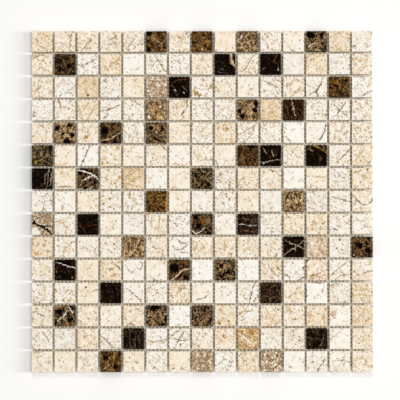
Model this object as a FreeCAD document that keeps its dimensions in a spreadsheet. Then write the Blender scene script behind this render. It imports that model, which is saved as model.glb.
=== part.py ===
# Mosaic tile sheet: fifteen courses of fifteen square marble chips, bonded to a glass fibre net.
# The sheet lies flat with its net on z = 0 and the polished faces of the chips up.
# X runs along a course, Y across the courses, and the origin is under the middle of the sheet.
import FreeCAD, Part
import os
import Sketcher

# Driving sizes in millimetres
SIZES = {
    "chip_side": 18.5,
    "chip_thickness": 9.5,
    "joint_width": 1.83,
    "edge_ease": 0.35,
    "yarn_pitch": 3.385,
    "warp_width": 1.1,
    "weft_width": 0.7,
    "yarn_thickness": 0.22,
    "resin_thickness": 0.12,
    "net_margin_left": 0.65,
    "net_margin_right": 6.3,
    "net_margin_top": 0.77,
    "net_margin_bottom": 3.3,
}

# Laying plan, seen from the face with the first course at the back: c is cream marble, b brown marble
LAYING_PLAN = [
    "cccccbcbcbccbcc",
    "cbccccccbcbcccc",
    "cccccbbccccccbc",
    "cccccbcccbcbccc",
    "cbcbcbccccccccc",
    "bccccccccbbcbcc",
    "bcbccccbccccccc",
    "cccccbcccccbccc",
    "bcbccccbcbccccc",
    "ccccbccccccbccb",
    "cbccccbcbcccccc",
    "cccbccccccbcccc",
    "cbcccbcbccccccc",
    "ccccbccccbccbcc",
    "cccbcccbccbcccc",
]
STONES = {"cream": "c", "brown": "b"}

# Sizes that follow from the driving ones
COURSES = len(LAYING_PLAN)
CHIP_PITCH = "(Sizes.chip_side + Sizes.joint_width)"
FIELD = f"({COURSES} * {CHIP_PITCH} - Sizes.joint_width)"
NET_ROOM_X = f"({FIELD} - Sizes.net_margin_left - Sizes.net_margin_right)"
NET_ROOM_Y = f"({FIELD} - Sizes.net_margin_top - Sizes.net_margin_bottom)"
WARP_CELLS = f"floor(({NET_ROOM_X} - Sizes.warp_width) / Sizes.yarn_pitch)"
WEFT_CELLS = f"floor(({NET_ROOM_Y} - Sizes.weft_width) / Sizes.yarn_pitch)"
NET_WIDTH = f"({WARP_CELLS} * Sizes.yarn_pitch + Sizes.warp_width)"
NET_LENGTH = f"({WEFT_CELLS} * Sizes.yarn_pitch + Sizes.weft_width)"
NET_LEFT = f"Sizes.net_margin_left - {FIELD} / 2"
NET_FRONT = f"{FIELD} / 2 - Sizes.net_margin_top - {NET_LENGTH}"
RESIN_BASE = "2 * Sizes.yarn_thickness"
CHIP_BASE = f"{RESIN_BASE} + Sizes.resin_thickness"

# Sketcher's numbers for the sketch's own X axis, Y axis and root point
X_AXIS = -1
Y_AXIS = -2
START = 1
END = 2


def fill_sheet(doc):
    """Write the driving sizes into the spreadsheet, one named cell each."""
    sheet = doc.addObject("Spreadsheet::Sheet", "Sizes")
    for line, (alias, value) in enumerate(SIZES.items(), start=1):
        sheet.set(f"A{line}", alias)
        sheet.set(f"B{line}", str(value))
        sheet.setAlias(f"B{line}", alias)
    doc.recompute()


def new_body(doc, label, place):
    """Add an empty body whose placement follows the sizes, and return it."""
    body = doc.addObject("PartDesign::Body", label)
    body.Label = label
    for axis, expression in place.items():
        body.setExpression(f"Placement.Base.{axis}", expression)
    return body


def new_sketch(body, name):
    """Add a sketch on the body's own XY plane."""
    sketch = body.newObject("Sketcher::SketchObject", name)
    plane = next(item for item in body.Origin.OriginFeatures if item.Role == "XY_Plane")
    sketch.AttachmentSupport = (plane, [""])
    sketch.MapMode = "FlatFace"
    return sketch


def draw_rectangle(sketch, left, front, width, depth):
    """Draw a closed upright rectangle; return the numbers of its front and left lines."""
    corners = [
        FreeCAD.Vector(left, front, 0),
        FreeCAD.Vector(left + width, front, 0),
        FreeCAD.Vector(left + width, front + depth, 0),
        FreeCAD.Vector(left, front + depth, 0),
    ]
    first = sketch.GeometryCount
    sides = [Part.LineSegment(corners[turn], corners[(turn + 1) % 4]) for turn in range(4)]
    sketch.addGeometry(sides, False)
    corner_joins = [
        Sketcher.Constraint("Coincident", first + turn, END, first + (turn + 1) % 4, START)
        for turn in range(4)
    ]
    directions = [
        Sketcher.Constraint("Horizontal", first),
        Sketcher.Constraint("Vertical", first + 1),
        Sketcher.Constraint("Horizontal", first + 2),
        Sketcher.Constraint("Vertical", first + 3),
    ]
    sketch.addConstraint(corner_joins + directions)
    return first, first + 3


def bind_dimension(sketch, constraint, name, expression):
    """Add a named dimension to the sketch and tie it to the sizes."""
    number = sketch.addConstraint(constraint)
    sketch.renameConstraint(number, name)
    sketch.setExpression(f"Constraints.{name}", expression)


def draw_chip_outlines(sketch, columns):
    """Draw one square for each chip of a course, each one column pitch apart."""
    side = SIZES["chip_side"]
    pitch = side + SIZES["joint_width"]
    lead_front = None
    for column in columns:
        front, left = draw_rectangle(sketch, column * pitch, 0, side, side)
        sketch.addConstraint(Sketcher.Constraint("PointOnObject", front, START, X_AXIS))
        sketch.addConstraint(Sketcher.Constraint("Equal", front, left))
        if column == 0:
            sketch.addConstraint(Sketcher.Constraint("PointOnObject", front, START, Y_AXIS))
        else:
            offset = Sketcher.Constraint("DistanceX", X_AXIS, START, front, START, column * pitch)
            bind_dimension(sketch, offset, f"column_{column + 1}", f"{column} * {CHIP_PITCH}")
        if lead_front is None:
            lead_front = front
            width = Sketcher.Constraint("Distance", front, side)
            bind_dimension(sketch, width, "chip_side", "Sizes.chip_side")
        else:
            sketch.addConstraint(Sketcher.Constraint("Equal", lead_front, front))


def add_pad(body, sketch, name, height):
    """Raise the sketch to a solid of the given height."""
    pad = body.newObject("PartDesign::Pad", name)
    pad.Profile = sketch
    pad.setExpression("Length", height)
    body.Document.recompute()
    return pad


def exposed_edges(shape):
    """Name every edge of the chips that isn't on their backs."""
    return [
        f"Edge{number}"
        for number, edge in enumerate(shape.Edges, start=1)
        if edge.BoundBox.ZMax > SIZES["chip_thickness"] / 2
    ]


def ease_edges(body, sawn):
    """Break the corners and the face edges of the sawn chips with a narrow flat."""
    chamfer = body.newObject("PartDesign::Chamfer", "eased_edges")
    chamfer.Base = (sawn, exposed_edges(sawn.Shape))
    chamfer.setExpression("Size", "Sizes.edge_ease")
    body.Document.recompute()


def make_chip_course(doc, course, stone):
    """Make the chips of one stone in one course, sawn square and eased at their edges."""
    mark = STONES[stone]
    columns = [column for column, letter in enumerate(LAYING_PLAN[course]) if letter == mark]
    place = {
        "x": f"-{FIELD} / 2",
        "y": f"{COURSES - 1 - course} * {CHIP_PITCH} - {FIELD} / 2",
        "z": CHIP_BASE,
    }
    body = new_body(doc, f"{stone}_chips_row_{course + 1:02d}", place)
    sketch = new_sketch(body, "chip_outlines")
    draw_chip_outlines(sketch, columns)
    sawn = add_pad(body, sketch, "sawn_chips", "Sizes.chip_thickness")
    ease_edges(body, sawn)
    return body, len(columns)


def add_yarn_pattern(body, sketch, yarn, axis, cells):
    """Repeat the first yarn once for each cell of the net, and return how many yarns that makes."""
    pattern = body.newObject("PartDesign::LinearPattern", "parallel_yarns")
    pattern.Originals = [yarn]
    pattern.Direction = (sketch, [axis])
    pattern.Mode = "Spacing"
    pattern.setExpression("Offset", "Sizes.yarn_pitch")
    pattern.setExpression("Occurrences", f"{cells} + 1")
    body.Tip = pattern
    body.Document.recompute()
    return pattern.Occurrences


def bind_rectangle(sketch, front, left, width, depth):
    """Tie a rectangle's width and depth to the sizes."""
    width_now = sketch.Geometry[front].length()
    depth_now = sketch.Geometry[left].length()
    bind_dimension(sketch, Sketcher.Constraint("Distance", front, width_now), "width", width)
    bind_dimension(sketch, Sketcher.Constraint("Distance", left, depth_now), "depth", depth)


def net_outline():
    """Return the net's width and length as they are before the sketches follow the sizes."""
    field = COURSES * (SIZES["chip_side"] + SIZES["joint_width"]) - SIZES["joint_width"]
    width = field - SIZES["net_margin_left"] - SIZES["net_margin_right"]
    length = field - SIZES["net_margin_top"] - SIZES["net_margin_bottom"]
    return width, length


def make_warp(doc):
    """Make the wide yarns that run across the courses, on the floor side of the net."""
    body = new_body(doc, "net_warp_yarns", {"x": NET_LEFT, "y": NET_FRONT})
    sketch = new_sketch(body, "first_yarn")
    front, left = draw_rectangle(sketch, 0, 0, SIZES["warp_width"], net_outline()[1])
    sketch.addConstraint(Sketcher.Constraint("Coincident", front, START, X_AXIS, START))
    bind_rectangle(sketch, front, left, "Sizes.warp_width", NET_LENGTH)
    yarn = add_pad(body, sketch, "yarn", "Sizes.yarn_thickness")
    return body, add_yarn_pattern(body, sketch, yarn, "H_Axis", WARP_CELLS)


def make_weft(doc):
    """Make the narrow yarns that run along the courses, laid on the warp."""
    place = {"x": NET_LEFT, "y": NET_FRONT, "z": "Sizes.yarn_thickness"}
    body = new_body(doc, "net_weft_yarns", place)
    sketch = new_sketch(body, "first_yarn")
    front, left = draw_rectangle(sketch, 0, 0, net_outline()[0], SIZES["weft_width"])
    sketch.addConstraint(Sketcher.Constraint("Coincident", front, START, X_AXIS, START))
    bind_rectangle(sketch, front, left, NET_WIDTH, "Sizes.weft_width")
    yarn = add_pad(body, sketch, "yarn", "Sizes.yarn_thickness")
    return body, add_yarn_pattern(body, sketch, yarn, "V_Axis", WEFT_CELLS)


def make_resin(doc):
    """Make the thin film of resin that bonds the chips' backs to the net."""
    body = new_body(doc, "bonding_resin", {"x": NET_LEFT, "y": NET_FRONT, "z": RESIN_BASE})
    sketch = new_sketch(body, "film_outline")
    front, left = draw_rectangle(sketch, 0, 0, *net_outline())
    sketch.addConstraint(Sketcher.Constraint("Coincident", front, START, X_AXIS, START))
    bind_rectangle(sketch, front, left, NET_WIDTH, NET_LENGTH)
    add_pad(body, sketch, "film", "Sizes.resin_thickness")
    return body, 1


def check_model(doc, pieces):
    """Stop if a feature failed or a sub-part lacks a sound solid for each of its pieces."""
    failed = [item.Name for item in doc.Objects if {"Invalid", "Error"} & set(item.State)]
    if failed:
        raise RuntimeError(f"features that failed: {failed}")
    for body, count in pieces:
        shape = body.Shape
        if shape.isNull() or not shape.isValid():
            raise RuntimeError(f"{body.Label} has no valid shape")
        if len(shape.Solids) != count:
            raise RuntimeError(f"{body.Label} has {len(shape.Solids)} solids, not {count}")


def main():
    """Build the sheet and write one file for each sub-part."""
    doc = FreeCAD.newDocument("mosaic_tile_sheet")
    fill_sheet(doc)
    pieces = [
        make_chip_course(doc, course, stone) for course in range(COURSES) for stone in STONES
    ]
    pieces += [make_warp(doc), make_weft(doc), make_resin(doc)]
    doc.recompute()
    check_model(doc, pieces)
    os.makedirs("parts", exist_ok=True)
    for body, count in pieces:
        body.Shape.exportStep(f"parts/{body.Label}.step")
        print(f"{body.Label}: {count} solids, {body.Shape.Volume:.1f} mm3")


main()
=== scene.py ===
"""Looks of the mosaic tile sheet: eased marble chips, bonded by a resin film to a woven glass net."""
import logging
import math
from dataclasses import dataclass, field
from enum import Enum, IntEnum

import bmesh
import bpy
import numpy as np
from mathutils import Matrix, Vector


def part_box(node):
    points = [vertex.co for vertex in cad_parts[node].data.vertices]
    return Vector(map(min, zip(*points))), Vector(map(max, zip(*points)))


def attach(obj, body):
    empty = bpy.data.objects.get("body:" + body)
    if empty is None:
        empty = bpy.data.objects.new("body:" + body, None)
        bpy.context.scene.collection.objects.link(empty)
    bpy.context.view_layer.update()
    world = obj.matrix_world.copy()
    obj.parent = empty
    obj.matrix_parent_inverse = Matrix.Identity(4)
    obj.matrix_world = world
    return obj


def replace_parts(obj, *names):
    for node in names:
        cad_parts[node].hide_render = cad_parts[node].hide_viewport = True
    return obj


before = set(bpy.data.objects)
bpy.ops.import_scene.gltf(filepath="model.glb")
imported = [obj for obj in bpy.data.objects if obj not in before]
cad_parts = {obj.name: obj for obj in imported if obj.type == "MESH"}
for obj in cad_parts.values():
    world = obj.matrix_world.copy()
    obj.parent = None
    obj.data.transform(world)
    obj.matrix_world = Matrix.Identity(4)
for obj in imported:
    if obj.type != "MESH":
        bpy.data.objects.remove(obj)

LOG = logging.getLogger("mosaic_sheet")

MM = 0.001
COURSES = 15
SEED = 4117

# How the sheet's notes are read
MARK_SLOTS = 6
DIGITS = "0123456789"
TENTH = 0.1
EDGE_PERCENT = 3.0
VEIN_OVERRUN = 2.5
USUAL_FIGURE = (0.5, 0.45, 0.45)
FIRST_INNER, LAST_INNER = 0.08, 0.92

Colour = tuple[int, int, int]
Point = tuple[float, float]
Triple = tuple[float, float, float]
Socket = bpy.types.NodeSocket
Value = float | tuple | Socket


class Stone(Enum):
    """The two marbles: name, and how much wider than noted veins and spots are drawn.

    A mark that is dark on light looks finer than it is.
    """

    CREAM = ("cream", 1.5, 1.7)
    BROWN = ("brown", 0.85, 1.4)

    def __init__(self, word: str, vein_gain: float, spot_gain: float) -> None:
        """Names the parts of the stone's value."""
        self.word, self.vein_gain, self.spot_gain = word, vein_gain, spot_gain

    @property
    def slot(self) -> str:
        """Name that the stone's pieces start with, the same as its material's name."""
        return f"{self.word}_marble"

    def node(self, course: int) -> str:
        """Name of the CAD node that holds this stone's chips of a course."""
        return f"{self.word}_chips_row_{course:02d}"


class Tone(Enum):
    """Ground and cloud colours of a chip, as screen colours, its stone, and its share of black pools."""

    WHITE = ((254, 249, 240), (248, 239, 224), Stone.CREAM, 0.0)
    IVORY = ((253, 247, 235), (245, 233, 214), Stone.CREAM, 0.0)
    CREAM = ((252, 242, 224), (243, 225, 198), Stone.CREAM, 0.0)
    WARM = ((251, 237, 214), (241, 220, 187), Stone.CREAM, 0.0)
    BEIGE = ((249, 233, 204), (236, 213, 176), Stone.CREAM, 0.0)
    TAN = ((242, 218, 180), (226, 196, 150), Stone.CREAM, 0.0)
    FAWN = ((230, 206, 174), (206, 180, 144), Stone.CREAM, 0.0)
    MIST = ((249, 241, 228), (233, 221, 203), Stone.CREAM, 0.0)
    ROSY = ((252, 242, 228), (241, 225, 208), Stone.CREAM, 0.0)
    BLACK = ((8, 3, 1), (72, 44, 23), Stone.BROWN, 1.0)
    UMBER = ((14, 8, 4), (118, 86, 52), Stone.BROWN, 1.0)
    OLIVE = ((16, 10, 5), (124, 100, 64), Stone.BROWN, 0.8)
    GOLDEN = ((44, 24, 7), (130, 92, 42), Stone.BROWN, 0.8)
    MOTTLE = ((12, 7, 3), (158, 122, 80), Stone.BROWN, 1.0)
    TAUPE = ((80, 56, 30), (186, 153, 110), Stone.BROWN, 0.1)
    SAND = ((160, 132, 98), (222, 202, 174), Stone.BROWN, 0.05)
    BUFF = ((192, 156, 108), (240, 208, 160), Stone.BROWN, 0.0)

    def __init__(self, ground: Colour, cloud: Colour, stone: Stone, pools: float) -> None:
        """Names the parts of the tone's value."""
        self.ground, self.cloud, self.stone, self.pools = ground, cloud, stone, pools


class Shade(Enum):
    """Colours that veins and spots take, each with its cover from 0 to 1."""

    GOLD = ((168, 128, 50), 0.92)
    RUST = ((120, 72, 28), 0.95)
    HONEY = ((204, 148, 44), 0.90)
    TAN = ((194, 160, 106), 0.80)
    BROWN = ((106, 80, 36), 0.92)
    DARK = ((64, 42, 18), 0.95)
    GREY = ((146, 132, 112), 0.80)
    UMBER = ((84, 58, 36), 0.85)
    OLIVE = ((112, 100, 64), 0.75)
    TAUPE = ((146, 120, 90), 0.75)
    BLACK = ((9, 5, 4), 1.0)
    LIGHT = ((208, 184, 148), 0.95)
    WHITE = ((246, 238, 224), 1.0)

    def __init__(self, colour: Colour, cover: float) -> None:
        """Names the parts of the shade's value."""
        self.colour, self.cover = colour, cover

    @property
    def place(self) -> float:
        """Middle of this shade's step on the shade ramp, from 0 to 1."""
        return (list(Shade).index(self) + 0.5) / len(Shade)


class Figure(Enum):
    """How much a word adds to a chip's streaks or web, to its patches and to its specks."""

    PLAIN = (-0.45, -0.35, -0.35)
    STREAKED = (0.40, 0.0, 0.0)
    BLOTCHED = (0.0, 0.45, 0.0)
    SPECKED = (0.0, 0.0, 0.50)
    WEBBED = (0.50, 0.0, 0.0)
    PATCHED = (0.0, 0.40, 0.0)
    MOTTLED = (0.0, 0.20, 0.50)


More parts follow.
